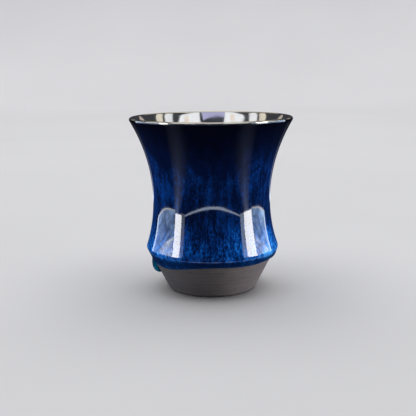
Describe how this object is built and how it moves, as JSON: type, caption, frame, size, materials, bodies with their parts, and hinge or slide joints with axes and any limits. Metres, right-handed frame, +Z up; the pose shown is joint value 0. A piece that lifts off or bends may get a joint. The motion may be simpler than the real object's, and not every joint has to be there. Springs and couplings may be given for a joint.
{
  "type": "tea sharing pitcher",
  "caption": "Waisted tea sharing pitcher of blue-glazed stoneware on a bare conical foot, silver-lined inside, with a flared lip; it gathers brewed tea and pours it out into cups.",
  "frame": {"origin": "on the table, in the middle of the foot", "axes": "+Z up along the pot's axis towards the mouth, -Y towards the viewer, +X to the viewer's right"},
  "size_m": [0.0848, 0.0848, 0.0907],
  "materials": {
    "bare_clay": "matte",
    "blue_glaze": "gloss",
    "dark_liner": "gloss",
    "bright_silver": "polished"
  },
  "bodies": {
    "root": {"stoneware_body": "bare_clay", "outer_glaze": "blue_glaze", "liner_glaze": "dark_liner", "silver_lining": "bright_silver"}
  },
  "joints": []
}
